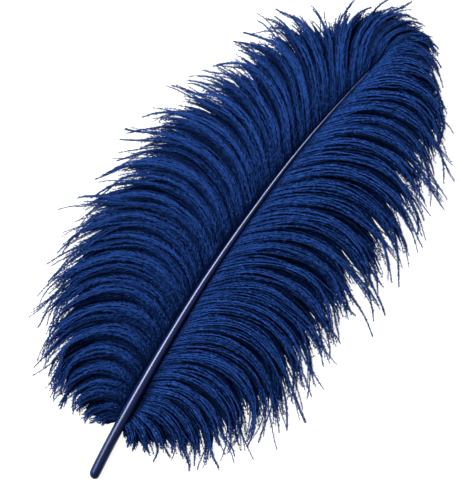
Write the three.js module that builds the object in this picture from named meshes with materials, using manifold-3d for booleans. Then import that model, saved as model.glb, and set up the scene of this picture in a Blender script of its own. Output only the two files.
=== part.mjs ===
// A dyed ostrich wing plume, lying on a level surface with its outer face up.
// Units are millimetres and degrees. +Y runs from the quill's end to the tip, +X is to the right as
// seen from above, +Z is up, and the surface is at z = 0. A heading is an angle from +Y towards +X.
//
// A plume grows as one piece: the bare quill narrows into the shaft, and the barbs leave the shaft on
// both sides, lean forward, then curl out and back. Neighbouring barbs cling together as locks, thick
// along the middle, thin where they meet, and pointed at the end. The two vanes are one pleated sheet
// that runs up the left side, round the tip and down the right side.
import * as THREE from "three";
import { mergeVertices } from "three/addons/utils/BufferGeometryUtils.js";
import Module from "manifold-3d";

const wasm = await Module();
wasm.setup();

// The shaft's centreline, from the quill's end to where the shaft is lost among the barbs.
const SHAFT_LINE = [
  [0.4, -3.4, 3.45],
  [-2.9, 20, 3.45],
  [-5.7, 45, 4.6],
  [-10.3, 95, 8],
  [-14, 158, 12.5],
  [-14.1, 221, 15],
  [-11.9, 273, 15.8],
  [-6.6, 322, 15],
  [0.9, 371, 12],
];
const QUILL_RADIUS = 3.8;
const SHAFT_END_RADIUS = 0.6;
const NARROWING = 0.85; // under 1 narrows the shaft sooner than evenly
const QUILL_SHARE = 0.17; // of the shaft's length that stays as thick as the quill
const VANE_START = 0.125; // of the shaft's length, where the first barbs grow
const GROOVE_DEPTH = 0.45; // of the radius, along the shaft's underside beyond the bare quill
const GROOVE_TOP = -0.9; // of the radius: what is lower on the shaft is pressed in as its groove
const SHAFT_SIDES = 10;
const SHAFT_STEPS = 22;
const ROUNDING_STEPS = 3; // rows of faces that round the quill's end
const NARROWEST_ROUNDING = 0.2; // of the radius, at the very end

// How the barbs grow at stations up each side. at: share of the way from the first barbs to the
// shaft's end. root and tip: the barb's heading where it leaves the shaft and where it ends. length:
// along the barb. ease: under 1 turns early and over 1 turns late.
const TIP_BARBS = { at: 1, root: 4, tip: 118, length: 42, ease: 1 };
const LEFT_BARBS = [
  { at: 0, root: -95, tip: -205, length: 30, ease: 1 },
  { at: 0.05, root: -72, tip: -210, length: 68, ease: 0.85 },
  { at: 0.12, root: -43, tip: -184, length: 100, ease: 0.62 },
  { at: 0.23, root: -38, tip: -176, length: 127, ease: 0.66 },
  { at: 0.345, root: -35, tip: -165, length: 142, ease: 0.7 },
  { at: 0.45, root: -42, tip: -150, length: 127, ease: 0.95 },
  { at: 0.54, root: -46, tip: -136, length: 117, ease: 1.15 },
  { at: 0.62, root: -44, tip: -120, length: 104, ease: 1.35 },
  { at: 0.7, root: -42, tip: -106, length: 95, ease: 1.5 },
  { at: 0.8, root: -41, tip: -76, length: 80, ease: 1.7 },
  { at: 0.845, root: -38, tip: 20, length: 74, ease: 2.4 },
  { at: 0.895, root: -31, tip: 64, length: 73, ease: 1.6 },
  { at: 0.945, root: -19, tip: 97, length: 58, ease: 1.15 },
  TIP_BARBS,
];
const RIGHT_BARBS = [
  { at: 0, root: 92, tip: 172, length: 30, ease: 1 },
  { at: 0.015, root: 70, tip: 168, length: 52, ease: 0.9 },
  { at: 0.045, root: 47, tip: 160, length: 80, ease: 0.75 },
  { at: 0.095, root: 43, tip: 148, length: 96, ease: 0.85 },
  { at: 0.15, root: 39, tip: 157, length: 119, ease: 0.95 },
  { at: 0.25, root: 35, tip: 146, length: 126, ease: 0.9 },
  { at: 0.345, root: 33, tip: 132, length: 132, ease: 0.88 },
  { at: 0.48, root: 34, tip: 134, length: 133, ease: 0.98 },
  { at: 0.61, root: 38, tip: 136, length: 136, ease: 1.1 },
  { at: 0.74, root: 35, tip: 138, length: 119, ease: 1.08 },
  { at: 0.865, root: 32, tip: 138, length: 97, ease: 1.05 },
  { at: 0.96, root: 14, tip: 128, length: 58, ease: 0.92 },
  TIP_BARBS,
];

// The locks up each side, from the quill to the tip. ends: the share of the way up where the next lock
// begins. reach: how far the lock reaches, as a share of its barbs' length.
const LEFT_LOCKS = [
  { ends: 0.03, reach: 0.9 },
  { ends: 0.06, reach: 0.96 },
  { ends: 0.09, reach: 1 },
  { ends: 0.12, reach: 1.02 },
  { ends: 0.155, reach: 0.98 },
  { ends: 0.195, reach: 1.06 },
  { ends: 0.24, reach: 1 },
  { ends: 0.285, reach: 1.08 },
  { ends: 0.32, reach: 0.98 },
  { ends: 0.355, reach: 0.95 },
  { ends: 0.395, reach: 1.02 },
  { ends: 0.43, reach: 0.93 },
  { ends: 0.465, reach: 1 },
  { ends: 0.515, reach: 0.96 },
  { ends: 0.565, reach: 1.03 },
  { ends: 0.61, reach: 0.97 },
  { ends: 0.655, reach: 1.04 },
  { ends: 0.7, reach: 1 },
  { ends: 0.75, reach: 0.98 },
  { ends: 0.805, reach: 1.02 },
  { ends: 0.86, reach: 0.94 },
  { ends: 0.91, reach: 1 },
  { ends: 0.955, reach: 0.98 },
  { ends: 1, reach: 0.96 },
];
const RIGHT_LOCKS = [
  { ends: 0.03, reach: 1 },
  { ends: 0.065, reach: 0.96 },
  { ends: 0.1, reach: 1 },
  { ends: 0.135, reach: 0.99 },
  { ends: 0.17, reach: 0.96 },
  { ends: 0.21, reach: 1.06 },
  { ends: 0.25, reach: 1.03 },
  { ends: 0.29, reach: 0.96 },
  { ends: 0.33, reach: 1.05 },
  { ends: 0.365, reach: 0.96 },
  { ends: 0.395, reach: 0.98 },
  { ends: 0.43, reach: 1.03 },
  { ends: 0.465, reach: 0.99 },
  { ends: 0.52, reach: 1.04 },
  { ends: 0.56, reach: 0.98 },
  { ends: 0.6, reach: 1.05 },
  { ends: 0.64, reach: 0.95 },
  { ends: 0.675, reach: 0.97 },
  { ends: 0.71, reach: 1.05 },
  { ends: 0.745, reach: 1.02 },
  { ends: 0.775, reach: 1.05 },
  { ends: 0.81, reach: 1.06 },
  { ends: 0.85, reach: 0.98 },
  { ends: 0.89, reach: 1.06 },
  { ends: 0.94, reach: 0.96 },
  { ends: 1, reach: 0.98 },
];

// The lines that make up each lock. across: share of the lock's width. reach: share of the barb's
// length. gather: how far the line is drawn to the lock's ridge at its end. body: share of the lock's
// half thickness.
const LOCK_LINES = [
  { across: 0, reach: 0.71, gather: 0, body: 0.12 },
  { across: 0.26, reach: 0.92, gather: 0.72, body: 0.7 },
  { across: 0.5, reach: 1, gather: 0, body: 1 },
  { across: 0.76, reach: 0.88, gather: 0.66, body: 0.6 },
];
const RIDGE_ACROSS = 0.5;
const LINE_STEPS = 7;
const STEP_PARTS = 8; // short straight parts that a line's heading is followed by, in each of its steps
const GENTLE_TURN = 0.6; // 0 turns a barb by its ease alone, and 1 also starts and ends the turn gently
const GATHER_FROM = 0.4; // of the barb's length, where a lock starts to narrow to its point
const UNEVEN_LIFT = 1.6; // how much higher one lock lies than the next, halfway along it
const LIFT_RHYTHM = 2.4; // radians of the wave of lifts from one lock to the next
const LOCK_HALF_THICKNESS = 3.8;
const FULL_THICKNESS_LENGTH = 105; // shorter locks are thinner in proportion
const LEAST_FULLNESS = 0.35; // of a long lock's thickness, for the shortest locks
const SWOLLEN_AT = 0.25; // of the barb's length, where a lock has its whole thickness
const THINS_FROM = 0.4; // of the barb's length, where a lock starts to thin
const TIP_HALF_THICKNESS = 0.5;
const LEAST_TIP_BODY = 0.4; // of that, at the ends of the partings
const TIP_HEIGHT = 0.4; // of a lock's middle over the surface, at its tip
const FALLEN_AT = 0.95; // of the barb's length, where it has come down to the tip's height
const ARCH = 8; // how far a long barb rises over a straight line from its root to its tip
const ARCH_LEAN = 0.8; // under 1 brings the crown of the arch nearer the shaft
const ROOT_HALF_THICKNESS = 0.65; // of the shaft's radius, so that the roots lie inside the shaft
const ROOT_OFFSET = 0.3; // of the shaft's radius, from the shaft's centreline
const LEAST_THICKNESS = 0.3;
const MERGE_DISTANCE = 1e-4; // vertices nearer than this are one

const UP = new THREE.Vector3(0, 0, 1);
const { lerp, smoothstep, clamp, degToRad } = THREE.MathUtils;
const shaftCurve = new THREE.CatmullRomCurve3(
  SHAFT_LINE.map((point) => new THREE.Vector3(...point)),
  false,
  "centripetal",
);
const shaftLength = shaftCurve.getLength();

// The unit vectors across and above a curve that runs along tangent.
function crossFrame(tangent) {
  const across = new THREE.Vector3().crossVectors(tangent, UP).normalize();
  const above = new THREE.Vector3().crossVectors(across, tangent).normalize();
  return { across, above };
}

// The shaft's radius at a share of its length, before the quill's end is rounded.
function shaftRadius(share) {
  const narrowing = clamp((share - QUILL_SHARE) / (1 - QUILL_SHARE), 0, 1);
  return lerp(QUILL_RADIUS, SHAFT_END_RADIUS, narrowing ** NARROWING);
}

// The place of one row of the rod: its share of the shaft's length, and its radius.
function rodRow(row) {
  const rounding = Math.min(row / ROUNDING_STEPS, 1) * (Math.PI / 2);
  const afterRounding = Math.max(row - ROUNDING_STEPS, 0) / (SHAFT_STEPS - ROUNDING_STEPS);
  const rounded = QUILL_RADIUS / shaftLength;
  const share = rounded * (1 - Math.cos(rounding)) + (1 - rounded) * afterRounding;
  return { share, radius: shaftRadius(share) * Math.max(Math.sin(rounding), NARROWEST_ROUNDING) };
}

// The quill and shaft: a rod that narrows, with a rounded end and a groove along its underside.
function makeShaft() {
  const halfFacet = Math.PI / SHAFT_SIDES;
  const rod = new THREE.CylinderGeometry(1, 1, 1, SHAFT_SIDES, SHAFT_STEPS, false, halfFacet);
  const at = rod.getAttribute("position");
  for (let i = 0; i < at.count; i++) {
    const { share, radius } = rodRow(Math.round((at.getY(i) + 0.5) * SHAFT_STEPS));
    const inGroove = share > VANE_START && at.getZ(i) < GROOVE_TOP;
    const { across, above } = crossFrame(shaftCurve.getTangentAt(share));
    const place = shaftCurve.getPointAt(share);
    place.addScaledVector(across, at.getX(i) * radius);
    place.addScaledVector(above, at.getZ(i) * radius * (inGroove ? 1 - GROOVE_DEPTH : 1));
    at.setXYZ(i, place.x, place.y, Math.max(place.z, 0));
  }
  return rod;
}

// The barbs' headings, length and ease at a share of the way up one side.
function growthAt(stations, share) {
  const next = Math.max(1, stations.findIndex((station) => station.at >= share));
  const [before, after] = [stations[next - 1], stations[next]];
  const t = (share - before.at) / (after.at - before.at);
  return {
    root: lerp(before.root, after.root, t),
    tip: lerp(before.tip, after.tip, t),
    length: lerp(before.length, after.length, t),
    ease: lerp(before.ease, after.ease, t),
  };
}

// A barb's heading at a share of its length, in radians.
function headingAt(growth, along) {
  const eased = along ** growth.ease;
  const turn = lerp(eased, smoothstep(eased, 0, 1), GENTLE_TURN);
  return degToRad(lerp(growth.root, growth.tip, turn));
}

// How high a barb's middle is at a share of its length.
function heightAt(growth, rootHeight, along) {
  const arch = ARCH * Math.min(1, growth.length / FULL_THICKNESS_LENGTH);
  const fallen = smoothstep(along, 0, FALLEN_AT);
  return lerp(rootHeight, TIP_HEIGHT, fallen) + arch * Math.sin(Math.PI * along ** ARCH_LEAN);
}

// A barb's middle line: points from its root in the shaft to a share of its length.
function barbLine(side, share, reach, lift) {
  const growth = growthAt(side < 0 ? LEFT_BARBS : RIGHT_BARBS, share);
  const shaftShare = lerp(VANE_START, 1, share);
  const { across } = crossFrame(shaftCurve.getTangentAt(shaftShare));
  const root = shaftCurve.getPointAt(shaftShare);
  root.addScaledVector(across, side * ROOT_OFFSET * shaftRadius(shaftShare));
  const steps = LINE_STEPS * STEP_PARTS;
  const at = root.clone();
  const points = [];
  for (let i = 0; i <= steps; i++) {
    const along = (i / steps) * reach;
    if (i % STEP_PARTS === 0) {
      const lifted = lift * Math.sin(Math.PI * along);
      points.push(new THREE.Vector3(at.x, at.y, heightAt(growth, root.z, along) + lifted));
    }
    const heading = headingAt(growth, along);
    const step = (growth.length * reach) / steps;
    at.x += Math.sin(heading) * step;
    at.y += Math.cos(heading) * step;
  }
  const rootHalf = ROOT_HALF_THICKNESS * shaftRadius(shaftShare);
  return { points, rootHalf, length: growth.length };
}

// Half the thickness of a line at a share of the barb's length.
function halfThickness(line, body, along) {
  const fullness = clamp(line.length / FULL_THICKNESS_LENGTH, LEAST_FULLNESS, 1);
  const whole = LOCK_HALF_THICKNESS * fullness * body;
  const swollen = lerp(line.rootHalf, whole, smoothstep(along, 0, SWOLLEN_AT));
  const thinnest = TIP_HALF_THICKNESS * Math.max(body, LEAST_TIP_BODY);
  return lerp(swollen, Math.min(swollen, thinnest), smoothstep(along, THINS_FROM, 1));
}

// One line of a lock: its points, and half the vane's thickness at each.
function lockLine(side, lock, form) {
  const locks = side < 0 ? LEFT_LOCKS : RIGHT_LOCKS;
  const { ends, reach } = locks[lock];
  const starts = lock > 0 ? locks[lock - 1].ends : 0;
  const atParting = form.across === 0;
  const lift = atParting ? 0 : UNEVEN_LIFT * Math.sin(lock * LIFT_RHYTHM + side);
  const lineReach = atParting ? form.reach : form.reach * reach;
  const line = barbLine(side, lerp(starts, ends, form.across), lineReach, lift);
  const ridge = barbLine(side, lerp(starts, ends, RIDGE_ACROSS), lineReach, lift);
  const half = line.points.map((point, j) => {
    const along = j / LINE_STEPS;
    point.lerp(ridge.points[j], form.gather * smoothstep(along, GATHER_FROM, 1));
    return halfThickness(line, form.body, along * lineReach);
  });
  return { points: line.points, half };
}

// The lines of one side, from the quill to the last lock before the tip.
function sideLines(side, locks) {
  return locks.flatMap((_, lock) => LOCK_LINES.map((form) => lockLine(side, lock, form)));
}

// The line at the tip, where the two sides meet.
function tipLine() {
  const { reach, body } = LOCK_LINES[0];
  const line = barbLine(-1, 1, reach, 0);
  const half = line.points.map((_, j) => halfThickness(line, body, (j / LINE_STEPS) * reach));
  return { points: line.points, half };
}

// Both vanes: a slab whose rows of points are laid along the lines.
function makeVane() {
  const lines = [
    ...sideLines(-1, LEFT_LOCKS),
    tipLine(),
    ...sideLines(1, RIGHT_LOCKS).reverse(),
  ];
  const lineGaps = lines.length - 1;
  const slab = new THREE.BoxGeometry(1, 1, 1, lineGaps, LINE_STEPS, 1);
  const at = slab.getAttribute("position");
  for (let i = 0; i < at.count; i++) {
    const line = lines[Math.round((at.getX(i) + 0.5) * lineGaps)];
    const step = Math.round((at.getY(i) + 0.5) * LINE_STEPS);
    const { x, y, z } = line.points[step];
    const isTop = at.getZ(i) > 0;
    const height = isTop ? z + line.half[step] : z - line.half[step];
    at.setXYZ(i, x, y, Math.max(height, isTop ? LEAST_THICKNESS : 0));
  }
  return slab;
}

// A closed geometry as a solid, with the vertices that its faces share merged.
function solidFrom(geometry) {
  const bare = geometry.clone();
  bare.deleteAttribute("normal");
  bare.deleteAttribute("uv");
  const merged = mergeVertices(bare, MERGE_DISTANCE);
  const mesh = new wasm.Mesh({
    numProp: 3,
    vertProperties: merged.getAttribute("position").array,
    triVerts: new Uint32Array(merged.index.array),
  });
  return new wasm.Manifold(mesh);
}

function geometryFrom(solid) {
  const { vertProperties, triVerts } = solid.getMesh();
  const geometry = new THREE.BufferGeometry();
  geometry.setAttribute("position", new THREE.BufferAttribute(vertProperties, 3));
  geometry.setIndex(new THREE.BufferAttribute(triVerts, 1));
  return geometry;
}

const dyedPlume = new THREE.MeshStandardMaterial({
  color: 0x1c3f86,
  roughness: 0.75,
  metalness: 0,
  flatShading: true,
});
const joined = solidFrom(makeShaft()).add(solidFrom(makeVane()));
const feather = new THREE.Mesh(geometryFrom(joined), dyedPlume);
feather.name = "feather";

const plume = new THREE.Group();
plume.add(feather);

// The origin is the middle of the plume's box, on the surface that it lies on.
const box = new THREE.Box3().setFromObject(plume);
feather.position.set(-(box.min.x + box.max.x) / 2, -(box.min.y + box.max.y) / 2, -box.min.z);

export default plume;
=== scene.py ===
"""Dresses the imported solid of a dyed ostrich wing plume: its glossy shaft, and the barbs of its two
vanes with their barbules. Lengths are in metres unless a name ends in MM."""

import math

import bpy
import numpy as np
from bpy.props import (
    FloatProperty,
    FloatVectorProperty,
    IntProperty,
    PointerProperty,
)
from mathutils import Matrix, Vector


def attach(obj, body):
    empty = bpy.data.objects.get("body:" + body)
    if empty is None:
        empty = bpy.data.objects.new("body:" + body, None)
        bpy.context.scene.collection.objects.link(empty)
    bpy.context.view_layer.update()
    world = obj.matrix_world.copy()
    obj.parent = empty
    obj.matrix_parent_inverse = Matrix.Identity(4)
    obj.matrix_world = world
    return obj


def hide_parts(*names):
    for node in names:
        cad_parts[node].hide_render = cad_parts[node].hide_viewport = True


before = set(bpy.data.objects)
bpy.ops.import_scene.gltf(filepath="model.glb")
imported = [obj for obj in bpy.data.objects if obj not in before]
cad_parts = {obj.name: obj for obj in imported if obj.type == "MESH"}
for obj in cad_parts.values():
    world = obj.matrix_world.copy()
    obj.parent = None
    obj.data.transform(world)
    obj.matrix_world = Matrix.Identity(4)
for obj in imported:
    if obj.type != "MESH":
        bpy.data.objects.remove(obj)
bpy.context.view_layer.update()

bl_info = {
    "name": "Dyed ostrich plume",
    "version": (1, 0, 0),
    "blender": (4, 5, 0),
    "location": "3D View > Sidebar > Plume",
    "description": "Shaft, barbs and barbules of a dyed ostrich wing plume",
    "category": "Add Mesh",
}

MM = 0.001
BODY = "root"
NODE = "feather"
ORIGIN_MM = np.array([7.01, -197.32, 0])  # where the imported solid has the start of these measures

# The shaft's centreline in millimetres, from the quill's end to where it is lost among the barbs.
SHAFT_LINE_MM = [
    (0.4, -3.4, 3.45),
    (-2.9, 20, 3.45),
    (-5.7, 45, 4.6),
    (-10.3, 95, 8),
    (-14, 158, 12.5),
    (-14.1, 221, 15),
    (-11.9, 273, 15.8),
    (-6.6, 322, 15),
    (0.9, 371, 12),
]
QUILL_SHARE = 0.17  # of the shaft's length that stays as thick as the quill
VANE_START = 0.125  # of the shaft's length, where the first barbs grow

# How the barbs grow at stations up each side: share of the way from the first barbs to the shaft's
# end, heading in degrees (from +Y towards +X) where the barb leaves the shaft and where it ends,
# length in millimetres, and ease, which is under 1 where the barb turns early.
TIP_STATION = (1, 4, 118, 42, 1)
LEFT_STATIONS = [
    (0, -140, -172, 17, 1),
    (0.018, -108, -184, 39, 0.95),
    (0.05, -72, -203, 66, 0.85),
    (0.12, -43, -184, 100, 0.62),
    (0.23, -38, -176, 127, 0.66),
    (0.345, -35, -165, 142, 0.7),
    (0.45, -42, -150, 127, 0.95),
    (0.54, -46, -136, 117, 1.15),
    (0.62, -44, -120, 104, 1.35),
    (0.7, -41, -118, 98, 1.8),
    (0.78, -39, -108, 91, 1.9),
    (0.815, -38, -66, 82, 2),
    (0.845, -38, 26, 76, 2),
    (0.895, -31, 64, 73, 1.6),
    (0.945, -19, 97, 58, 1.15),
    TIP_STATION,
]
RIGHT_STATIONS = [
    (0, 145, 165, 15, 1),
    (0.012, 100, 152, 36, 1),
    (0.045, 50, 152, 75, 0.78),
    (0.095, 43, 148, 96, 0.85),
    (0.15, 39, 157, 119, 0.95),
    (0.25, 35, 146, 126, 0.9),
    (0.345, 33, 132, 132, 0.88),
    (0.48, 34, 134, 133, 0.98),
    (0.61, 38, 136, 136, 1.1),
    (0.74, 35, 138, 119, 1.08),
    (0.865, 32, 138, 97, 1.05),
    (0.96, 14, 128, 58, 0.92),
    TIP_STATION,
]
# The locks up each side: the share of the way up where the next lock begins, and how far the lock
# reaches, as a share of its barbs' length.
LEFT_LOCKS = [
    (0.03, 0.82), (0.06, 0.94), (0.09, 1), (0.12, 1.02), (0.155, 0.98), (0.195, 1.06),
    (0.24, 1), (0.285, 1.08), (0.32, 0.98), (0.355, 0.95), (0.395, 1.02), (0.43, 0.93),
    (0.465, 1), (0.515, 0.96), (0.565, 1.03), (0.61, 0.97), (0.655, 1.04), (0.7, 1),
    (0.75, 1.02), (0.805, 1.04), (0.86, 0.95), (0.91, 1), (0.955, 0.98), (1, 0.96),
]
RIGHT_LOCKS = [
    (0.03, 0.9), (0.065, 0.96), (0.1, 1), (0.135, 0.99), (0.17, 0.96), (0.21, 1.06),
    (0.25, 1.03), (0.29, 0.96), (0.33, 1.05), (0.365, 0.96), (0.395, 0.98), (0.43, 1.03),
    (0.465, 0.99), (0.52, 1.04), (0.56, 0.98), (0.6, 1.05), (0.64, 0.95), (0.675, 0.97),
    (0.71, 1.05), (0.745, 1.02), (0.775, 1.05), (0.81, 1.06), (0.85, 0.98), (0.89, 1.06),
    (0.94, 0.96), (1, 0.98),
]
LOCK_HALF_MM = 3.8  # half a lock's thickness at its ridge
FULL_LENGTH_MM = 105  # shorter locks are thinner in proportion
LEAST_FULLNESS = 0.2  # of a lock's thickness, however short it is
UNEVEN_LIFT_MM = 1.6  # how far a lock may lie above or below the rest
RIDGE_ACROSS = 0.5  # where a lock's ridge is, as a share of its width

# Where barbs root: beside the shaft's middle and below it, as shares of the shaft's radius. Near the
# head they root across the middle and above it, so that they hide the shaft.
ROOT_ASIDE = 0.55
LEAST_ASIDE_MM = 0.6
ROOT_BELOW = 0.45
CROSSING_MM = 0.3
CROSSING_RISE_MM = 0.8
SHAFT_HIDDEN = (0.92, 0.07)  # of the way up a side: from where, and over how much more
TURN_SMOOTHING = 0.6  # how far a barb's turn starts and ends gently
TIP_HEIGHT_MM = 0.7  # of a barb's tip over the surface
ARCH_MM = 8  # how far a long barb rises over a straight line from its root to its tip
HEAD_ARCH = 0.65  # of that arch, at the head
HALFWAY = 0.55  # of a barb's length, where the spacing and the widths of tufts are measured
EVEN_SPREAD = 0.88  # how evenly the barbs are spaced there, against evenly along the shaft
SPREAD_STEPS = 600
PATH_STEPS = 18  # straight stretches in each barb
ALONG = np.linspace(0, 1, PATH_STEPS + 1)[None, :]  # how far along a barb its points are

# The layers of barbs in each vane, from the underside up. height: of a lock's half thickness.
# gather: how far its barbs are drawn together in tufts. reach: of the lock's reach. spacing: between
# barbs halfway along. pitch: between barbules. tone: how light its barbs are, from 0 to 1; the lower
# layers are darker as painted shade under the top ones, the felted layer darkest. width and
# length: of the barbules, against the usual. felt: half the width of the felted down that a barb's own
# barbules make along it. cling: how closely the barbs of a twig lie together at its end. tip: a barb's
# thickness towards its tip, against its root. Spacing, pitch and felt are in millimetres.
LAYERS = [
    {"height": -0.9, "gather": 0.15, "reach": 0.9, "spacing": 3.2, "pitch": 1.6, "tone": 0.2,
     "width": 1.3, "length": 1.1, "felt": 0, "cling": 0.5, "tip": 0.9},
    {"height": -0.4, "gather": 0.05, "reach": 0.88, "spacing": 2.1, "pitch": 3.2, "tone": 0.0,
     "width": 1.6, "length": 1.4, "felt": 2.3, "cling": 0, "tip": 0.3},
    {"height": 0.3, "gather": 0.22, "reach": 0.94, "spacing": 2.4, "pitch": 1.3, "tone": 0.35,
     "width": 1.1, "length": 1.0, "felt": 0, "cling": 0.6, "tip": 1.1},
    {"height": 0.9, "gather": 0.38, "reach": 1.07, "spacing": 1.75, "pitch": 0.92, "tone": 0.6,
     "width": 0.95, "length": 1.0, "felt": 0, "cling": 0.92, "tip": 1.3},
]
TUFT_WIDTH_MM = 10  # across a tuft halfway along, before its barbs draw together
TUFT_UNEVEN = 0.32  # how far the edge between two tufts may shift, as a share of a tuft's width
TUFT_REACH = (0.93, 1.06)  # how far one tuft reaches, as a share of its lock's reach
TUFT_STRAY_MM = 2.6  # the scatter of how far a tuft strays sideways
TUFT_LIFT_MM = 0.7  # and of how far it lies above or below its lock
BARBS_A_TWIG = (2, 5)  # that cling together towards their tips: from the first to under the second
TWIG_JOINS = (0.55, 0.33)  # of its length: from where its barbs draw together, and over how much more
TWIG_SHORTER = (-0.08, 0.22)  # how much shorter one twig is than the next
BARB_REACH = (0.9, 1.01)  # of its twig's reach
LONGEST_REACH = 1.0  # of any barb, as a share of its lock's reach
TWIG_STRAY_MM = 46  # the scale of a twig's turn aside, which grows from STRAY_FROM to its tip
STRAY_FROM = 0.7
MOST_STRAY = 1.3  # of a twig, where 1 is its usual turn
BARB_SWAY_MM = 0.4  # the scatter of how far a barb sways up or down halfway along
ROOT_GAP_MM = 0.9  # between layers near the shaft, against their heights
LOWEST_BARB = 0.0002  # of any barb over the surface
BARBULE_SPLAY_DEG = (18, 7)  # between a barbule and its barb: the usual angle and its scatter
TIP_SPLAY = 2.1  # how much wider the barbules splay near the barb's tip
BARBULE_ROLL_DEG = (-35, 75)  # how far a barbule leaves its barb below and above level
BARBULE_LENGTHS = (0.5, 1.3)  # the shortest and the longest, against the usual length there
BARBULE_WIDTHS = (0.8, 1.2)  # the narrowest and the widest, against the usual
BARBULE_KEEL = 0.6  # a barbule's thickness at its root, as a share of its width

# In each of these, -1 is the left side and 1 the right.
SIDE_TONE = {-1: -0.06, 1: 0.1}  # how much lighter the side is
HEAD_TONE = {-1: 0.12, 1: 0.2}  # how much lighter it is towards the head
PARTING_SHADE = {-1: 0.4, 1: 0.3}  # how strongly each lock is painted: shade on its quill side and far edge, light across its middle
NEAR_SHAFT_SHADE = {-1: 0.2, 1: -0.06}  # painted shade beside the shaft: how much darker the barbs start, most at the quill's end
# How much of a barb's root is painted nearly black, as painted shadow of the shaft and painted shade where
# the barbs meet it, at the quill's end and at the head. Below 0, the root itself is lighter.
ROOT_SHADOW_MM = {-1: (1.8, -4), 1: (4.4, -1)}
ROOT_SHADOW_FADE_MM = 3.5  # over which that painted shadow gives way to the barb's own tone
TIP_TONE = 0.65  # how light the tips are at least
TUFT_EDGE_SHADE = 0.45  # how much darker a tuft's edges are than its crest, as painted shade in the partings and painted light on the crest
BARB_TONE = 0.08  # how unevenly the barbs took the dye
BARBULE_TONE = 0.22  # and how unevenly the barbules did
PAINTED_ROOT_SHADE = [(0.006, 0.5), (0.02, 0.95), (0.1, 1.0)]  # painted shade where a barb meets the shaft: the share of its colour left at places along it

STREAK_MM = (1.1, 40, 1.1)  # size of the streaks that the dye left on the shaft
# Along the shaft: from and to in metres, and what it gives at each. How much rougher the quill is where
# it is handled, how strongly it shines, and how far that shine is lost towards the head.
HANDLED = (-0.19, -0.13, 0.08, 0.0)
SHINE = (-0.19, -0.12, 0.2, 0.58)
HEAD_SHINE = (0.07, 0.13, 1.0, 0.35)
SHAFT_SIDES = 20
SHAFT_RINGS = 46
END_RINGS_DEG = (8, 25, 45, 65, 90)  # of the quill's rounded end, from its pole to its full width
GROOVE_BELOW = 0.9  # how low on the shaft the groove is, where 1 is its underside
GROOVE_START = 0.05  # of the shaft's length, over which the groove deepens

BARB_MATERIAL = "acid_dyed_ostrich_barbs"
VANE_PARTS = ("quill_end", "middle", "head")
LEFT_CUTS = (0, 0.285, 0.565, 1)  # of the way up the side, where its parts begin and end
RIGHT_CUTS = (0, 0.29, 0.56, 1)

FLOOR_SIZE = 40
FLOOR_BELOW = 0.0005
PAPER_COLOUR = "#898989"  # under its own glow, which makes it white
PAPER_GLOW = 0.9
LAMP_TURN_DEG = 176  # from +X towards +Y
LAMP_RISE_DEG = 45
LAMP_DISTANCE = 1.5
LAMP_SIZE = (1.8, 0.8)
LAMP_POWER = 86
SKY_GLOW = (0.03, 0.42)  # near the ground and overhead
VIEW_CENTRE_MM = np.array([-13.6, 188.9, 10])  # in the shaft's measures
SENSOR_MM = 36.0
FARTHEST_SEEN = 20


def hex_linear(code):
    """An sRGB hex colour as linear red, green and blue."""
    channels = [int(code[i:i + 2], 16) / 255 for i in (1, 3, 5)]
    return tuple(c / 12.92 if c <= 0.04045 else ((c + 0.055) / 1.055) ** 2.4 for c in channels)


def smooth(t):
    """0 below 0, 1 above 1, and a smooth rise between."""
    t = np.clip(t, 0, 1)
    return t * t * (3 - 2 * t)


def rise(t, start, width):
    """0 up to start, 1 from start + width on, and a smooth rise between."""
    return smooth((t - start) / width)


def mix(a, b, t):
    return a + (b - a) * t


def round_crest(across):
    """1 in the middle of a lock or tuft and 0 at its edges, round between."""
    return np.sqrt(np.maximum(0, 1 - (2 * across - 1) ** 2))


def level_right(ahead):
    """Unit vectors to the right of these, level."""
    right = np.stack([ahead[..., 1], -ahead[..., 0], 0 * ahead[..., 0]], -1)
    return right / np.linalg.norm(right, axis=-1, keepdims=True)


def catmull_rom(points, t):
    """Places on a centripetal Catmull-Rom curve through points, for t from 0 to 1."""
    count = len(points) - 1
    ends = np.array([2 * points[0] - points[1], *points, 2 * points[-1] - points[-2]])
    gaps = np.linalg.norm(np.diff(ends, axis=0), axis=1) ** 0.5
    whole = np.minimum((t * count).astype(int), count - 1)
    w = (t * count - whole)[:, None]
    p0, p1, p2, p3 = (ends[whole + k] for k in range(4))
    d0, d1, d2 = (gaps[whole + k][:, None] for k in range(3))
    lead = ((p1 - p0) / d0 - (p2 - p0) / (d0 + d1) + (p2 - p1) / d1) * d1
    tail = ((p2 - p1) / d1 - (p3 - p1) / (d1 + d2) + (p3 - p2) / d2) * d1
    rise_over = p2 - p1
    return (
        p1 + lead * w + (3 * rise_over - 2 * lead - tail) * w**2 + (lead + tail - 2 * rise_over) * w**3
    )


SHAFT_FINE = catmull_rom(np.array(SHAFT_LINE_MM, float), np.linspace(0, 1, 400))
SHAFT_RUN = np.concatenate([[0], np.cumsum(np.linalg.norm(np.diff(SHAFT_FINE, axis=0), axis=1))])
SHAFT_LENGTH = SHAFT_RUN[-1]


def shaft_at(share):
    """Places on the shaft's centreline at shares of its length."""
    run = np.asarray(share) * SHAFT_LENGTH
    return np.stack([np.interp(run, SHAFT_RUN, SHAFT_FINE[:, k]) for k in range(3)], -1)


def shaft_across(share):
    """Unit vectors to the right of the shaft, level."""
    ahead = shaft_at(np.minimum(share + 0.004, 1)) - shaft_at(np.maximum(share - 0.004, 0))
    return level_right(ahead)


def shaft_radius(share, sizes):
    """The shaft's radius in millimetres at shares of its length."""
    narrowing = np.clip((share - QUILL_SHARE) / (1 - QUILL_SHARE), 0, 1) ** 0.85
    return mix(sizes.quill_radius / MM, sizes.end_radius / MM, narrowing)


def growth(side, share):
    """Heading at the root and at the tip, length and ease of barbs at shares of the way up a side."""
    stations = np.array(LEFT_STATIONS if side < 0 else RIGHT_STATIONS, float)
    return [np.interp(share, stations[:, 0], stations[:, k]) for k in range(1, 5)]


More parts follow.
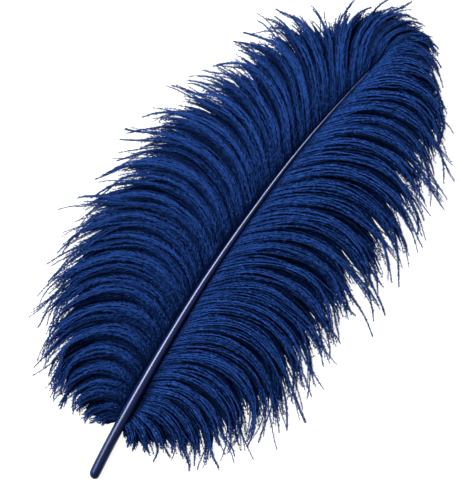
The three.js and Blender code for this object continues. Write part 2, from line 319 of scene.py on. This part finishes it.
def locks_of(side, share):
    """Each barb's lock: its number, where it begins and ends up the side, and its reach."""
    locks = np.array(LEFT_LOCKS if side < 0 else RIGHT_LOCKS, float)
    ends = locks[:, 0]
    number = np.minimum(np.searchsorted(ends, share), len(ends) - 1)
    starts = np.concatenate([[0], ends[:-1]])
    return number, starts[number], ends[number], locks[number, 1]


def barb_roots(side, share, sizes):
    """Where barbs leave the shaft."""
    on_shaft = mix(VANE_START, 1, share)
    radius = shaft_radius(on_shaft, sizes)[:, None]
    hidden = rise(share, *SHAFT_HIDDEN)[:, None]
    aside = mix(np.maximum(ROOT_ASIDE * radius, LEAST_ASIDE_MM), -CROSSING_MM, hidden)
    roots = shaft_at(on_shaft) + shaft_across(on_shaft) * side * aside
    roots[:, 2] += mix(-ROOT_BELOW * radius, CROSSING_RISE_MM, hidden)[:, 0]
    return roots


def barb_lines(side, share, reach, sizes):
    """Barbs' middle lines, one row of points each, and how far along each point is."""
    root_heading, tip_heading, length, ease = (v[:, None] for v in growth(side, share))
    along = ALONG * reach[:, None]
    eased = along**ease
    turn = mix(eased, smooth(eased), TURN_SMOOTHING)
    heading = np.radians(mix(root_heading, tip_heading, turn))
    middle = (heading[:, 1:] + heading[:, :-1]) / 2
    step = length * reach[:, None] / PATH_STEPS
    moves = np.stack([np.sin(middle) * step, np.cos(middle) * step], -1)
    roots = barb_roots(side, share, sizes)
    points = np.zeros((len(share), PATH_STEPS + 1, 3))
    points[:, 1:, :2] = np.cumsum(moves, axis=1)
    points[..., :2] += roots[:, None, :2]
    arch = ARCH_MM * np.minimum(1, length / FULL_LENGTH_MM)
    arch = arch * mix(1, HEAD_ARCH, rise(share, 0.7, 0.25))[:, None]
    fallen = rise(along, 0, 0.95)
    points[..., 2] = mix(roots[:, None, 2], TIP_HEIGHT_MM, fallen) + arch * np.sin(np.pi * along**0.8)
    return points, along


def spread_barbs(side, spacing, sizes):
    """Shares of the way up a side, set so that the barbs are nearly evenly spaced halfway along."""
    fine = np.linspace(0, 1, SPREAD_STEPS)
    middle = barb_lines(side, fine, np.full(SPREAD_STEPS, HALFWAY), sizes)[0][:, -1]
    run = np.concatenate([[0], np.cumsum(np.linalg.norm(np.diff(middle, axis=0), axis=1))])
    even = run / run[-1]
    spread = EVEN_SPREAD * even + (1 - EVEN_SPREAD) * fine
    count = int(run[-1] / spacing)
    return np.interp((np.arange(count) + 0.5) / count, spread, fine)


def cut_tufts(side, draw, sizes):
    """The tufts up a side, each lock parted into a few of uneven width: their edges, and how far each
    one reaches, strays sideways and lies above the next."""
    locks = np.array(LEFT_LOCKS if side < 0 else RIGHT_LOCKS, float)[:, 0]
    edges = [0.0]
    for low, high in zip(np.concatenate([[0], locks[:-1]]), locks):
        across = barb_lines(side, np.array([low, high]), np.full(2, HALFWAY), sizes)[0][:, -1]
        count = max(1, round(np.linalg.norm(across[1] - across[0]) / TUFT_WIDTH_MM))
        shift = draw.uniform(-TUFT_UNEVEN, TUFT_UNEVEN, count - 1)
        inner = (np.arange(1, count) + shift) / count
        edges += [mix(low, high, part) for part in inner] + [high]
    count = len(edges) - 1
    return {
        "edges": np.array(edges),
        "reach": draw.uniform(*TUFT_REACH, count),
        "stray": draw.normal(0, TUFT_STRAY_MM, count),
        "lift": draw.normal(0, TUFT_LIFT_MM, count),
    }


def sort_barbs(side, layer, tufts, sizes, draw):
    """A layer's barbs, placed up a side and sorted into locks, tufts and twigs."""
    share = spread_barbs(side, layer["spacing"], sizes)
    uneven = 0.0004 + 0.0008 * layer["cling"]
    share = np.sort(np.clip(share + draw.normal(0, uneven, len(share)), 0.0005, 0.9995))
    lock, starts, ends, lock_reach = locks_of(side, share)
    edges = tufts["edges"]
    tuft = np.searchsorted(edges[1:-1], share)
    in_tuft = (share - edges[tuft]) / (edges[tuft + 1] - edges[tuft])
    across = (share - starts) / (ends - starts)
    tuft_middle = (edges[tuft] + edges[tuft + 1]) / 2
    first = np.isin(np.arange(len(share)), np.cumsum(draw.integers(*BARBS_A_TWIG, len(share))))
    first |= np.diff(tuft, prepend=0) > 0
    twig = np.cumsum(first)
    twig_share = (np.bincount(twig, share) / np.maximum(np.bincount(twig), 1))[twig]
    length = growth(side, share)[2][:, None]
    return {
        "share": share,
        "lock": lock,
        "lock_reach": lock_reach,
        "across": across,
        "tuft": tuft,
        "lock_crest": round_crest(across),
        "tuft_crest": round_crest(in_tuft),
        "ridge_at": mix(tuft_middle, mix(starts, ends, RIDGE_ACROSS), 0.3),
        "twig": twig,
        "twigs": twig[-1] + 1,
        "twig_share": twig_share,
        "length": length,
        "fullness": np.clip(length / FULL_LENGTH_MM, LEAST_FULLNESS, 1),
    }


def draw_together(side, barbs, layer, tufts, sizes, draw):
    """The barbs' lines, drawn in towards the ridges of their tufts and joined as twigs."""
    tuft, twig, twigs = barbs["tuft"], barbs["twig"], barbs["twigs"]
    reach = layer["reach"] * tufts["reach"][tuft] * mix(0.9, 1.02, barbs["tuft_crest"])
    shorter = 1 - draw.uniform(*TWIG_SHORTER, twigs)[twig] * (0.3 + 0.7 * layer["cling"])
    reach *= shorter * draw.uniform(*BARB_REACH, len(twig))
    reach = barbs["lock_reach"] * np.minimum(reach, LONGEST_REACH)
    own, along = barb_lines(side, barbs["share"], reach, sizes)
    ridge, _ = barb_lines(side, barbs["ridge_at"], reach, sizes)
    middle, _ = barb_lines(side, barbs["twig_share"], reach, sizes)
    joined = rise(ALONG, *TWIG_JOINS)
    gather = layer["gather"] * (rise(ALONG, 0.15, 0.6) - 0.55 * rise(ALONG, 0.7, 0.3))
    gather = gather * draw.uniform(0.8, 1.15, (twigs, 1))[twig]
    points = mix(mix(own, middle, layer["cling"] * joined[..., None]), ridge, gather[..., None])
    return points, along


def waves(count, draw):
    """About one to three waves along each of so many barbs, each row begun at its own place."""
    return draw.uniform(0.8, 3, (count, 1)) * ALONG + draw.uniform(0, 1, (count, 1))


def wander(barbs, layer, tufts, twig_waves, own_waves, draw):
    """How far each full-length barb strays to its right along its length, in millimetres: in waves with
    its twig and on its own, aside at the twig's tip, and with its tuft."""
    twig, cling = barbs["twig"], layer["cling"]
    turned = np.clip(draw.normal(0, 1, (barbs["twigs"], 1)), -MOST_STRAY, MOST_STRAY)[twig]
    stray = (0.2 + cling) * turned
    curled = 0.3 + 0.4 * ALONG + 0.9 * cling * rise(ALONG, 0.65, 0.3)
    aside = np.sin(2 * np.pi * twig_waves) * curled
    aside = aside + stray * TWIG_STRAY_MM * np.clip(ALONG - STRAY_FROM, 0, 1) ** 1.6
    aside += np.sin(2 * np.pi * own_waves) * 0.55 * (1 - 0.6 * rise(ALONG, *TWIG_JOINS))
    with_tuft = tufts["stray"][barbs["tuft"]][:, None] * layer["gather"] * ALONG**2
    return aside * rise(ALONG, 0, 0.1) + with_tuft


def heights(side, barbs, layer, tufts, along, own_waves, draw):
    """How far each barb lies above its line: with its layer's place in the lock, its lock and its tuft,
    and swaying a little on its own."""
    crest = (0.7 * barbs["lock_crest"] + 0.5 * barbs["tuft_crest"])[:, None]
    crest = crest - 0.2 * rise(ALONG, 0.2, 0.3)
    body = LOCK_HALF_MM * barbs["fullness"] * rise(along, 0, 0.25) * (1 - 0.85 * rise(along, 0.4, 0.6))
    lift = UNEVEN_LIFT_MM * np.sin(barbs["lock"] * 2.4 + side)[:, None]
    lift = (lift + tufts["lift"][barbs["tuft"]][:, None]) * np.sin(np.pi * np.clip(along, 0, 1))
    sway = draw.normal(0, BARB_SWAY_MM, (len(crest), 1)) * np.sin(np.pi * ALONG)
    sway += 0.5 * np.cos(2 * np.pi * own_waves) * rise(ALONG, 0, 0.2)
    return layer["height"] * (crest * body + ROOT_GAP_MM * rise(ALONG, 0, 0.05)) + lift + sway


def tones(side, barbs, layer, draw):
    """How light each barb is along its length, from 0 to 1: uneven dye, lighter tips and painted light on
    the crests, with painted shade in the partings and on the quill sides of the locks, beside the shaft
    and at the roots."""
    share, across, length = barbs["share"], barbs["across"], barbs["length"]
    by_barb = draw.normal(0, BARB_TONE, len(share))
    # Painted shade in the tufts' partings and painted light on their crests, over the barbs' uneven dye.
    tone = layer["tone"] + TUFT_EDGE_SHADE * (barbs["tuft_crest"] - 0.75) + by_barb
    tone += HEAD_TONE[side] * rise(share, 0.45, 0.4) + SIDE_TONE[side]
    # Painted shade on each lock's quill side and far edge, painted light across its middle.
    lit = rise(across, 0, 0.5) * (1 - 0.5 * rise(across, 0.8, 0.2))
    parted_shade = PARTING_SHADE[side] * (1 + 0.5 * np.sin(barbs["lock"] * 1.9 + side)) * (lit - 0.7)
    tone = tone[:, None] + (parted_shade * rise(share, 0, 0.06))[:, None] * rise(ALONG, 0, 0.35)
    # Painted shade beside the shaft, most at the quill's end.
    tone -= NEAR_SHAFT_SHADE[side] * (1 - rise(ALONG * length, 0, 30)) * (1 - share[:, None])
    tone = np.maximum(tone, mix(tone, TIP_TONE, rise(ALONG, 0.7, 0.25)))
    # Painted shadow of the shaft at each barb's root, fading out along it.
    dark = mix(*ROOT_SHADOW_MM[side], share)[:, None] * np.minimum(1, length / 60)
    return np.clip(tone * rise(ALONG * length, dark, ROOT_SHADOW_FADE_MM), 0, 1)


def grow_layer(side, layer, tufts, sizes, draw):
    """The barbs of one layer of a vane: their points, their tones and where they root."""
    barbs = sort_barbs(side, layer, tufts, sizes, draw)
    points, along = draw_together(side, barbs, layer, tufts, sizes, draw)
    right = level_right(np.gradient(points, axis=1))
    twig_waves = waves(barbs["twigs"], draw)[barbs["twig"]]
    own_waves = waves(len(points), draw)
    aside = wander(barbs, layer, tufts, twig_waves, own_waves, draw)
    points += right * (aside * barbs["fullness"])[..., None]
    points[..., 2] += heights(side, barbs, layer, tufts, along, own_waves, draw)
    return points, tones(side, barbs, layer, draw), barbs["share"]


def frames_along(points):
    """Unit vectors along each barb, to its right, and above it."""
    ahead = np.gradient(points, axis=1)
    ahead /= np.linalg.norm(ahead, axis=-1, keepdims=True)
    right = np.cross(ahead, (0, 0, 1))
    right /= np.linalg.norm(right, axis=-1, keepdims=True)
    return ahead, right, np.cross(right, ahead)


def barb_cores(points, tone, layer, sizes):
    """A thin three-sided spike along each barb, closed at both ends."""
    _, right, above = frames_along(points)
    count, rows = points.shape[:2]
    t = ALONG[..., None]
    thinning = mix(1.0, 0.4, rise(t, 0.82, 0.18))
    radius = sizes.barb_radius / MM * mix(1.0, layer["tip"], t) * thinning
    wide = radius + layer["felt"] * rise(t, 0, 0.04) * (1 - rise(t, 0.74, 0.26))
    corners = []
    for corner in range(3):
        angle = math.radians(90 + 120 * corner)
        corners.append(points + wide * math.cos(angle) * right + radius * math.sin(angle) * above)
    verts = np.stack(corners, 2)
    index = np.arange(count * rows * 3).reshape(count, rows, 3)
    faces = []
    for corner in range(3):
        other = (corner + 1) % 3
        a, b = index[:, :-1, corner], index[:, :-1, other]
        c, d = index[:, 1:, other], index[:, 1:, corner]
        faces += [np.stack([a, c, b], -1), np.stack([a, d, c], -1)]
    faces = [f.reshape(-1, 3) for f in faces]
    faces += [index[:, 0], index[:, -1, ::-1]]
    along = np.broadcast_to(t, (count, rows, 3))
    shades = np.broadcast_to(tone[..., None], (count, rows, 3))
    uv = np.stack([along, shades], -1)
    return verts.reshape(-1, 3), np.concatenate(faces), uv.reshape(-1, 2)


def place_barbules(points, pitch, draw):
    """Where barbules leave their barbs: each one's barb, how far along it is, and its side, -1 or 1."""
    lengths = np.linalg.norm(np.diff(points, axis=1), axis=2).sum(1)
    per_side = np.maximum((lengths / pitch).astype(int), 3)
    barb = np.repeat(np.arange(len(points)), per_side)
    first = np.concatenate([[0], np.cumsum(per_side)[:-1]])
    place = np.arange(len(barb)) - first[barb]
    hand = np.repeat([-1.0, 1.0], len(barb))
    barb = np.concatenate([barb, barb])
    place = np.concatenate([place, place])
    shift = draw.uniform(-0.4, 0.4, len(barb))
    return barb, np.clip((place + 0.5 + shift) / per_side[barb], 0, 0.998), hand


def barbules(points, tone, layer, sizes, draw):
    """Closed slivers down both sides of each barb, which give it its herringbone fur."""
    ahead, right, above = frames_along(points)
    barb, t, hand = place_barbules(points, layer["pitch"], draw)
    count = len(barb)
    row = (t * PATH_STEPS).astype(int)
    part = (t * PATH_STEPS - row)[:, None]

    def at(field):
        return mix(field[barb, row], field[barb, row + 1], part)

    base, forward, aside, up = at(points), at(ahead), at(right), at(above)
    longest = sizes.barbule_length / MM * layer["length"]
    length = longest * mix(0.55, 1, rise(t, 0, 0.12)) * mix(1, 0.64, rise(t, 0.6, 0.3))
    length *= mix(1, 0.6, rise(t, 0.86, 0.14))
    length = length * draw.uniform(*BARBULE_LENGTHS, count)
    wider = mix(1, TIP_SPLAY, rise(t, 0.6, 0.3))
    splay = np.radians(draw.normal(*BARBULE_SPLAY_DEG, count) * wider)[:, None]
    roll = np.radians(draw.uniform(*BARBULE_ROLL_DEG, count))[:, None]
    outward = hand[:, None] * np.cos(roll) * aside + np.sin(roll) * 0.8 * up
    reach = np.cos(splay) * forward + np.sin(splay) * outward
    reach /= np.linalg.norm(reach, axis=1, keepdims=True)
    flat = np.cross(reach, up)
    flat /= np.linalg.norm(flat, axis=1, keepdims=True)
    thick = np.cross(flat, reach)
    width = sizes.barbule_width / MM * layer["width"] * draw.uniform(*BARBULE_WIDTHS, (count, 1))
    half = flat * width / 2
    tip = base + reach * length[:, None]
    verts = np.stack([base - half, base + half, base + thick * width * BARBULE_KEEL, tip], 1)
    corner = np.arange(count)[:, None] * 4
    faces = [corner + np.array(f) for f in ((0, 1, 2), (1, 0, 3), (2, 1, 3), (0, 2, 3))]
    shade = at(tone[..., None])[:, 0]
    shade = np.clip(shade + draw.normal(0, BARBULE_TONE, count) * rise(shade, 0, 0.3), 0, 1)
    uv = np.stack([np.repeat(t, 4).reshape(-1, 4), np.repeat(shade, 4).reshape(-1, 4)], -1)
    return verts.reshape(-1, 3), np.concatenate(faces), uv.reshape(-1, 2)


def make_mesh(name, parts):
    """One mesh object from lists of vertices in millimetres, triangles and map places."""
    verts, faces, uvs, base = [], [], [], 0
    for v, f, uv in parts:
        verts.append(v)
        faces.append(f + base)
        uvs.append(uv)
        base += len(v)
    verts = (np.concatenate(verts) + ORIGIN_MM) * MM
    verts[:, 2] = np.maximum(verts[:, 2], LOWEST_BARB)
    faces, uvs = np.concatenate(faces), np.concatenate(uvs)
    mesh = bpy.data.meshes.new(name)
    mesh.vertices.add(len(verts))
    mesh.vertices.foreach_set("co", verts.astype(np.float32).ravel())
    mesh.loops.add(faces.size)
    mesh.loops.foreach_set("vertex_index", faces.astype(np.int32).ravel())
    mesh.polygons.add(len(faces))
    mesh.polygons.foreach_set("loop_start", np.arange(0, faces.size, 3, dtype=np.int32))
    layer = mesh.uv_layers.new(name="OFBake")
    layer.uv.foreach_set("vector", uvs[faces.ravel()].astype(np.float32).ravel())
    mesh.update(calc_edges=True)
    piece = bpy.data.objects.new(name, mesh)
    bpy.context.scene.collection.objects.link(piece)
    return piece


def settle(piece, material):
    """Gives a finished piece its material and its body, and hides the solid it stands for."""
    piece.data.materials.clear()
    piece.data.materials.append(material)
    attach(piece, BODY)
    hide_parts(NODE)


def add_node(tree, kind, links=(), values=None, stops=(), **settings):
    """Adds a node with its settings, its ramp's (place, colour) stops if it has one, values for its
    sockets by name, and (output, socket) pairs to link to it."""
    node = tree.nodes.new(kind)
    for key, value in settings.items():
        setattr(node, key, value)
    elements = node.color_ramp.elements if stops else ()
    while len(elements) > 1:
        elements.remove(elements[-1])
    for number, (place, colour) in enumerate(stops):
        element = elements.new(place) if number else elements[0]
        element.position = place
        element.color = (*colour, 1)
    for socket, value in (values or {}).items():
        node.inputs[socket].default_value = value
    for output, socket in links:
        tree.links.new(output, node.inputs[socket])
    return node


def new_material(name):
    material = bpy.data.materials.new(name)
    material.use_nodes = True
    tree = material.node_tree
    tree.nodes.clear()
    return material, tree


def dyed_barb_material(colours):
    """Acid-dyed ostrich barbs: soft keratin that takes the dye a little unevenly, with painted shade and
    painted light that run the colour from near black at the roots and in the partings to royal blue on the
    crests, and a faint silky sheen."""
    material, tree = new_material(BARB_MATERIAL)
    uv = add_node(tree, "ShaderNodeUVMap", uv_map="OFBake")
    parts = add_node(tree, "ShaderNodeSeparateXYZ", [(uv.outputs[0], 0)])
    along, tone = parts.outputs["X"], parts.outputs["Y"]
    # Low tones, in the partings, at the roots and in the lower layers, take the painted shade colour; the
    # lit crests take the painted light colour.
    by_tone = add_node(
        tree, "ShaderNodeValToRGB", [(tone, 0)],
        stops=[(0.0, colours.deep_shade), (0.45, colours.body), (1.0, colours.crest)],
    )
    # Painted shade where each barb meets the shaft, multiplied into its colour.
    root_shading = add_node(
        tree, "ShaderNodeValToRGB", [(along, 0)],
        stops=[(place, (grey, grey, grey)) for place, grey in PAINTED_ROOT_SHADE],
    )
    colour = add_node(
        tree, "ShaderNodeMix", [(by_tone.outputs[0], 6), (root_shading.outputs[0], 7)],
        {"Factor": 1.0}, data_type="RGBA", blend_type="MULTIPLY",
    )
    rough = add_node(tree, "ShaderNodeMapRange", [(tone, 0)], {"To Min": 0.62, "To Max": 0.46})
    sheen = (*hex_linear("#7FA4F0"), 1)
    shader = add_node(
        tree, "ShaderNodeBsdfPrincipled",
        [(colour.outputs[2], "Base Color"), (rough.outputs[0], "Roughness")],
        {"IOR": 1.5, "Specular IOR Level": 0.1, "Specular Tint": sheen},
    )
    add_node(tree, "ShaderNodeOutputMaterial", [(shader.outputs[0], 0)])
    return material


def shaft_material(colours):
    """Dyed, polished keratin of the quill and shaft: nearly black blue, with fine lengthwise streaks
    where the dye settled, and a clear, narrow gloss that is duller where the quill is handled."""
    material, tree = new_material("dyed_polished_keratin")
    place = add_node(tree, "ShaderNodeTexCoord").outputs["Object"]
    fineness = [1 / (size * MM) for size in STREAK_MM]
    mapping = add_node(tree, "ShaderNodeMapping", [(place, 0)], {"Scale": fineness})
    streaks = add_node(
        tree, "ShaderNodeTexNoise", [(mapping.outputs[0], 0)], {"Scale": 1.0, "Detail": 3.0},
    )
    ramp = add_node(
        tree, "ShaderNodeValToRGB", [(streaks.outputs[0], 0)],
        stops=[(0.3, colours.shaft_dark), (0.7, colours.shaft_light)],
    )
    bump = add_node(
        tree, "ShaderNodeBump", [(streaks.outputs[0], "Height")],
        {"Strength": 0.03, "Distance": 0.0002},
    )
    polish = add_node(
        tree, "ShaderNodeMapRange", [(streaks.outputs[0], 0)], {"To Min": 0.19, "To Max": 0.25},
    )
    up_shaft = add_node(tree, "ShaderNodeSeparateXYZ", [(place, 0)]).outputs["Y"]
    handled, shine, head_shine = (
        add_node(
            tree, "ShaderNodeMapRange", [(up_shaft, 0)],
            {"From Min": start, "From Max": end, "To Min": first, "To Max": last},
        )
        for start, end, first, last in (HANDLED, SHINE, HEAD_SHINE)
    )
    rough = add_node(tree, "ShaderNodeMath", [(polish.outputs[0], 0), (handled.outputs[0], 1)])
    gloss = add_node(
        tree, "ShaderNodeMath", [(shine.outputs[0], 0), (head_shine.outputs[0], 1)],
        operation="MULTIPLY",
    )
    shader = add_node(
        tree, "ShaderNodeBsdfPrincipled",
        [
            (ramp.outputs[0], "Base Color"),
            (rough.outputs[0], "Roughness"),
            (bump.outputs[0], "Normal"),
            (gloss.outputs[0], "Specular IOR Level"),
        ],
        {"IOR": 1.55, "Specular Tint": (*hex_linear("#D8DFFF"), 1)},
    )
    add_node(tree, "ShaderNodeOutputMaterial", [(shader.outputs[0], 0)])
    return material


class PlumeSizes(bpy.types.PropertyGroup):
    quill_radius: FloatProperty(
        name="Quill radius", description="Half the bare quill's thickness",
        default=4.05 * MM, unit="LENGTH", precision=5,
    )
    end_radius: FloatProperty(
        name="Shaft end radius", description="Half the shaft's thickness where it is lost",
        default=0.35 * MM, unit="LENGTH", precision=5,
    )
    groove: FloatProperty(
        name="Groove depth", description="Depth of the groove under the shaft, as a share of its radius",
        default=0.4, subtype="FACTOR", min=0, max=0.9,
    )
    barb_radius: FloatProperty(
        name="Barb radius", description="Half a barb's thickness at its root",
        default=0.34 * MM, unit="LENGTH", precision=6,
    )
    barbule_length: FloatProperty(
        name="Barbule length", description="Length of the longest barbules",
        default=3.8 * MM, unit="LENGTH", precision=5,
    )
    barbule_width: FloatProperty(
        name="Barbule width", description="Width of a barbule where it leaves its barb",
        default=0.6 * MM, unit="LENGTH", precision=6,
    )
    seed: IntProperty(name="Seed", description="Chooses the random lie of the barbs", default=1)


class DyeAndShadeColours(bpy.types.PropertyGroup):
    # Painted shade, for the partings, the roots and the lower layers.
    deep_shade: FloatVectorProperty(
        name="Deep dye", description="Colour in the partings and under the vanes",
        subtype="COLOR", default=hex_linear("#030D28"),
    )
    body: FloatVectorProperty(
        name="Body dye", description="Colour of most of the barbs",
        subtype="COLOR", default=hex_linear("#0A1D45"),
    )
    # Painted light, for the lit crests.
    crest: FloatVectorProperty(
        name="Crest dye", description="Colour of the best lit barbs",
        subtype="COLOR", default=hex_linear("#1E3D7C"),
    )
    shaft_dark: FloatVectorProperty(
        name="Shaft dark", description="Darker streaks of the shaft",
        subtype="COLOR", default=hex_linear("#040B20"),
    )
    shaft_light: FloatVectorProperty(
        name="Shaft light", description="Lighter streaks of the shaft",
        subtype="COLOR", default=hex_linear("#091840"),
    )


class StageSizes(bpy.types.PropertyGroup):
    view_height: FloatProperty(
        name="View height", description="How much of the surface the camera takes in, top to bottom",
        default=348.6 * MM, unit="LENGTH",
    )
    lens: FloatProperty(name="Lens", description="Focal length in millimetres", default=200)
    turn: FloatProperty(
        name="Camera turn", description="How far the camera is turned from the shaft",
        default=math.radians(34.78), subtype="ANGLE",
    )


class PLUME_OT_shaft(bpy.types.Operator):
    """Models the quill and shaft by extruding a ring along the shaft's curve"""

    bl_idname = "plume.shaft"
    bl_label = "Quill and shaft"

    def execute(self, context):
        sizes = context.scene.plume_sizes
        rounded = sizes.quill_radius / MM / SHAFT_LENGTH
        rounding = [1 - math.cos(math.radians(a)) for a in END_RINGS_DEG[1:]]
        shares = [0.0] + [rounded * r for r in rounding]
        shares += [rounded + (1 - rounded) * k / SHAFT_RINGS for k in range(1, SHAFT_RINGS + 1)]
        radii = [math.sin(math.radians(a)) for a in END_RINGS_DEG] + [1.0] * SHAFT_RINGS
        places = [Vector((shaft_at(s) + ORIGIN_MM) * MM) for s in shares]
        radii = [r * float(shaft_radius(s, sizes)) * MM for r, s in zip(radii, shares)]
        bpy.ops.object.select_all(action="DESELECT")
        bpy.ops.mesh.primitive_circle_add(
            vertices=SHAFT_SIDES, radius=radii[0], fill_type="NGON",
            location=places[0], rotation=(math.radians(90), 0, 0),
        )
        shaft = context.active_object
        shaft.name = shaft.data.name = "shaft"
        bpy.ops.object.transform_apply(location=True, rotation=True, scale=True)
        bpy.ops.object.mode_set(mode="EDIT")
        bpy.ops.mesh.select_mode(type="FACE")
        bpy.ops.mesh.select_all(action="SELECT")
        for before, here, thin, wide in zip(places, places[1:], radii, radii[1:]):
            bpy.ops.mesh.extrude_region_move(TRANSFORM_OT_translate={"value": here - before})
            bpy.ops.transform.resize(value=(wide / thin,) * 3, center_override=here)
        bpy.ops.mesh.select_all(action="SELECT")
        bpy.ops.mesh.normals_make_consistent(inside=False)
        bpy.ops.object.mode_set(mode="OBJECT")
        self.press_groove(shaft, shares, places, sizes)
        smoother = shaft.modifiers.new("smoother", "SUBSURF")
        smoother.levels = smoother.render_levels = 1
        bpy.ops.object.modifier_apply(modifier=smoother.name)
        bpy.ops.object.shade_smooth()
        settle(shaft, shaft_material(context.scene.plume_colours))
        return {"FINISHED"}

    @staticmethod
    def press_groove(shaft, shares, places, sizes):
        """Pushes the underside of the shaft in beyond the bare quill, and rests the quill on the floor."""
        ys = np.array([p.y for p in places])
        for vert in shaft.data.vertices:
            share = float(np.interp(vert.co.y, ys, shares))
            centre = Vector((shaft_at(share) + ORIGIN_MM) * MM)
            radius = float(shaft_radius(share, sizes)) * MM
            down = (centre.z - vert.co.z) / radius
            if share > VANE_START and down > GROOVE_BELOW:
                vert.co.z += radius * sizes.groove * min(1, (share - VANE_START) / GROOVE_START)
            vert.co.z = max(vert.co.z, 0.0)


def grow_vane(context, side, name, cuts):
    """Grows the barbs of one side and joins those that root between each pair of cuts as one piece."""
    sizes = context.scene.plume_sizes
    material = bpy.data.materials.get(BARB_MATERIAL)
    material = material or dyed_barb_material(context.scene.plume_colours)
    bundles = [[] for _ in VANE_PARTS]
    tufts = cut_tufts(side, np.random.default_rng([sizes.seed, side + 1]), sizes)
    for number, layer in enumerate(LAYERS):
        lie, fur = (np.random.default_rng([sizes.seed, side + 1, number, use]) for use in (1, 2))
        points, tone, share = grow_layer(side, layer, tufts, sizes, lie)
        for bundle, low, high in zip(bundles, cuts, cuts[1:]):
            held = (share >= low) & (share < high)
            bundle.append(barb_cores(points[held], tone[held], layer, sizes))
            bundle.append(barbules(points[held], tone[held], layer, sizes, fur))
    for part, bundle in zip(VANE_PARTS, bundles):
        piece = make_mesh(f"{name}_barbs_{part}", bundle)
        settle(piece, material)


class PLUME_OT_left_vane(bpy.types.Operator):
    """Grows the barbs and barbules of the left vane"""

    bl_idname = "plume.left_vane"
    bl_label = "Left vane"

    def execute(self, context):
        grow_vane(context, -1, "left", LEFT_CUTS)
        return {"FINISHED"}


class PLUME_OT_right_vane(bpy.types.Operator):
    """Grows the barbs and barbules of the right vane"""

    bl_idname = "plume.right_vane"
    bl_label = "Right vane"

    def execute(self, context):
        grow_vane(context, 1, "right", RIGHT_CUTS)
        return {"FINISHED"}


class PLUME_OT_stage(bpy.types.Operator):
    """Sets the pale floor, the soft studio light and the camera over the plume"""

    bl_idname = "plume.stage"
    bl_label = "Floor, light and camera"

    def execute(self, context):
        self.lay_floor(context)
        self.set_lights(context)
        self.set_camera(context, context.scene.plume_stage)
        context.scene.view_settings.view_transform = "Standard"
        return {"FINISHED"}

    @staticmethod
    def lay_floor(context):
        """Lays a sheet of white paper, which glows a little so that it stays white everywhere."""
        bpy.ops.object.select_all(action="DESELECT")
        bpy.ops.mesh.primitive_plane_add(size=FLOOR_SIZE, location=(0, 0, -FLOOR_BELOW))
        floor = context.active_object
        floor.name = floor.data.name = "floor"
        material, tree = new_material("white_paper_sweep")
        shader = add_node(
            tree, "ShaderNodeBsdfPrincipled", (),
            {
                "Base Color": (*hex_linear(PAPER_COLOUR), 1),
                "Roughness": 0.9,
                "Emission Color": (*hex_linear("#FFFFFF"), 1),
                "Emission Strength": PAPER_GLOW,
            },
        )
        add_node(tree, "ShaderNodeOutputMaterial", [(shader.outputs[0], 0)])
        floor.data.materials.append(material)

    @staticmethod
    def set_lights(context):
        """Sets a sky that brightens overhead, and one long soft lamp to the left of the plume."""
        world = bpy.data.worlds.new("studio")
        context.scene.world = world
        world.use_nodes = True
        sky = world.node_tree
        way = add_node(sky, "ShaderNodeTexCoord")
        height = add_node(sky, "ShaderNodeSeparateXYZ", [(way.outputs["Generated"], 0)])
        low, high = SKY_GLOW
        glow = add_node(
            sky, "ShaderNodeMapRange", [(height.outputs["Z"], 0)], {"To Min": low, "To Max": high},
        )
        sky.nodes["Background"].inputs[0].default_value = (1, 1, 1, 1)
        sky.links.new(glow.outputs[0], sky.nodes["Background"].inputs[1])
        turn, rise_up = math.radians(LAMP_TURN_DEG), math.radians(LAMP_RISE_DEG)
        level = math.cos(rise_up)
        aim = Vector((math.cos(turn) * level, math.sin(turn) * level, math.sin(rise_up)))
        bpy.ops.object.light_add(type="AREA", location=aim * LAMP_DISTANCE)
        lamp = context.active_object
        lamp.name = "key"
        lamp.rotation_euler = aim.to_track_quat("Z", "Y").to_euler()
        lamp.data.energy = LAMP_POWER
        lamp.data.shape = "RECTANGLE"
        lamp.data.size, lamp.data.size_y = LAMP_SIZE

    @staticmethod
    def set_camera(context, stage):
        """Looks straight down on the plume, with its shaft turned in the picture."""
        distance = stage.view_height * stage.lens / SENSOR_MM
        centre = Vector((ORIGIN_MM + VIEW_CENTRE_MM) * MM)
        bpy.ops.object.camera_add(
            location=centre + Vector((0, 0, distance)), rotation=(0, 0, stage.turn)
        )
        camera = context.active_object
        camera.name = "camera"
        camera.data.lens = stage.lens
        camera.data.sensor_width = SENSOR_MM
        camera.data.clip_end = FARTHEST_SEEN
        context.scene.camera = camera


class PLUME_PT_panel(bpy.types.Panel):
    bl_label = "Dyed ostrich plume"
    bl_idname = "PLUME_PT_panel"
    bl_space_type = "VIEW_3D"
    bl_region_type = "UI"
    bl_category = "Plume"

    def draw(self, context):
        for group in ("plume_sizes", "plume_colours", "plume_stage"):
            settings = getattr(context.scene, group)
            for name in settings.bl_rna.properties.keys():
                if name not in ("rna_type", "name"):
                    self.layout.prop(settings, name)
        for operator in STEPS:
            self.layout.operator(operator.bl_idname)


GROUPS = {"plume_sizes": PlumeSizes, "plume_colours": DyeAndShadeColours, "plume_stage": StageSizes}
STEPS = [PLUME_OT_shaft, PLUME_OT_left_vane, PLUME_OT_right_vane, PLUME_OT_stage]


def register():
    for cls in (*GROUPS.values(), *STEPS, PLUME_PT_panel):
        bpy.utils.register_class(cls)
    for name, group in GROUPS.items():
        setattr(bpy.types.Scene, name, PointerProperty(type=group))


def unregister():
    for name in GROUPS:
        delattr(bpy.types.Scene, name)
    for cls in (PLUME_PT_panel, *reversed(STEPS), *reversed(GROUPS.values())):
        bpy.utils.unregister_class(cls)


def main():
    register()
    bpy.ops.plume.shaft()
    bpy.ops.plume.left_vane()
    bpy.ops.plume.right_vane()
    bpy.ops.plume.stage()


if __name__ == "__main__":
    main()
